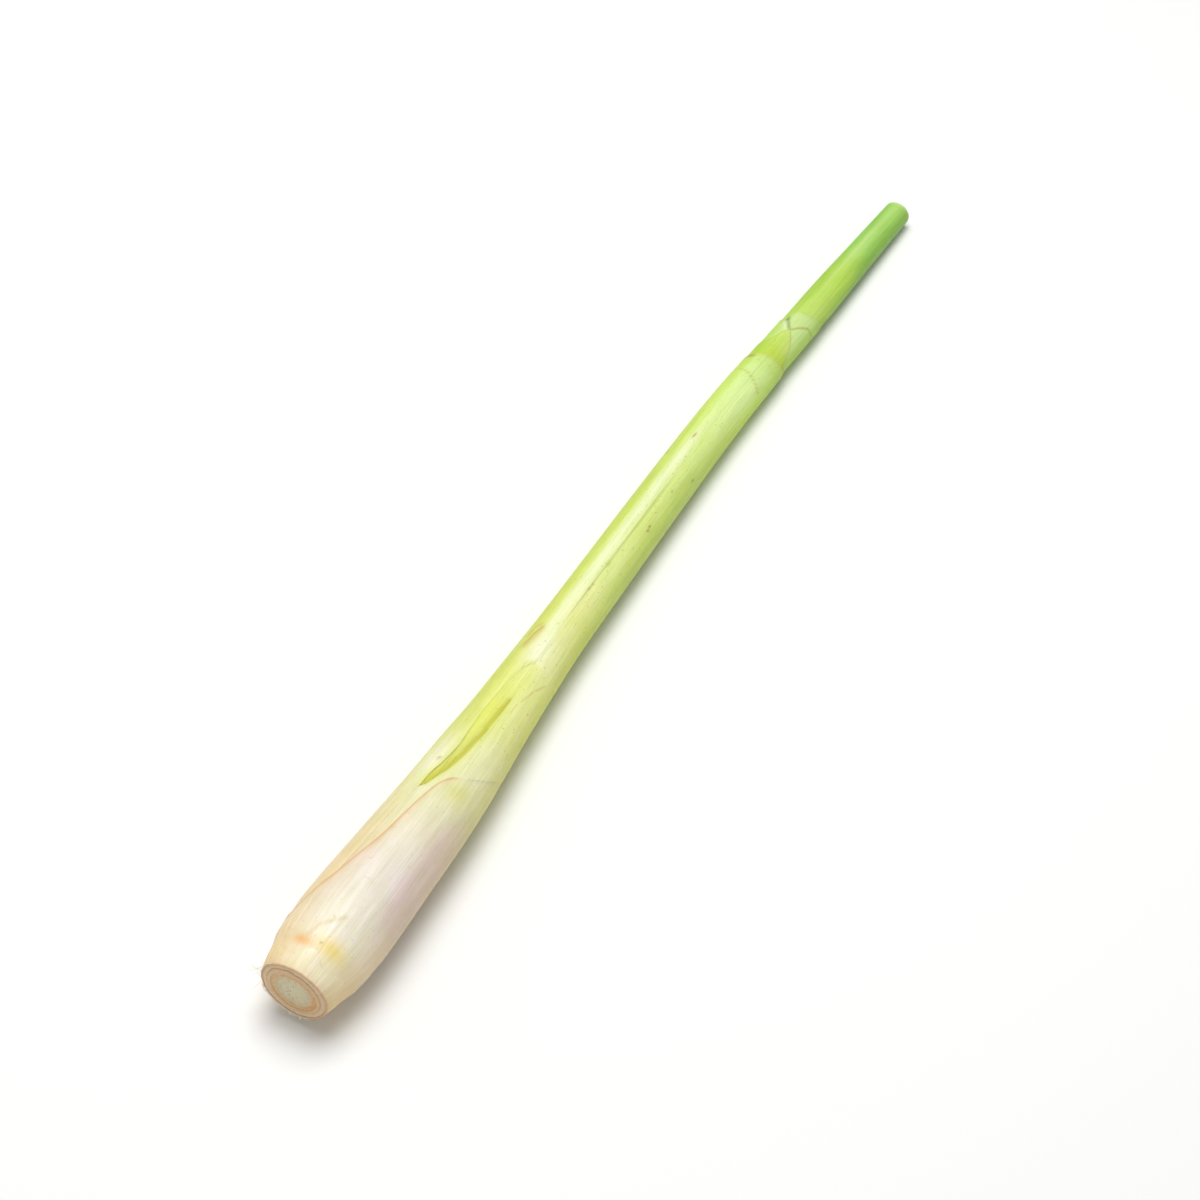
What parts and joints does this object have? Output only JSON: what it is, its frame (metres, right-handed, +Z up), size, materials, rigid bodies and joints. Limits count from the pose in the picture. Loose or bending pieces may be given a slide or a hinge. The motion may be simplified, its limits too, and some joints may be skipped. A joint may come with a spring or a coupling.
{
  "type": "lemongrass stalk",
  "caption": "Trimmed lemongrass stalk lying on its side: a solid stem wrapped in rolled leaf sheaths, with a pale swollen base that narrows to a green trimmed top.",
  "frame": {"origin": "on the surface the stalk lies on, under the middle of its box", "axes": "+Y runs along the stalk from the cut base to the trimmed top, +Z is up, and +X is to the right when looking along +Y"},
  "size_m": [0.0214, 0.285, 0.0213],
  "materials": {
    "cut_stem": "satin",
    "green_leaf_roll": "satin",
    "pale_collar_sheath": "satin",
    "yellow_green_sheath": "satin",
    "pale_green_sheath": "satin",
    "ivory_sheath": "satin",
    "torn_stub": "matte"
  },
  "bodies": {
    "root": {"basal_stem": "cut_stem", "inner_leaf_roll": "green_leaf_roll", "fourth_sheath": "pale_collar_sheath", "third_sheath": "yellow_green_sheath", "second_sheath": "pale_green_sheath", "outer_sheath": "ivory_sheath", "sheath_stub": "torn_stub"}
  },
  "joints": []
}
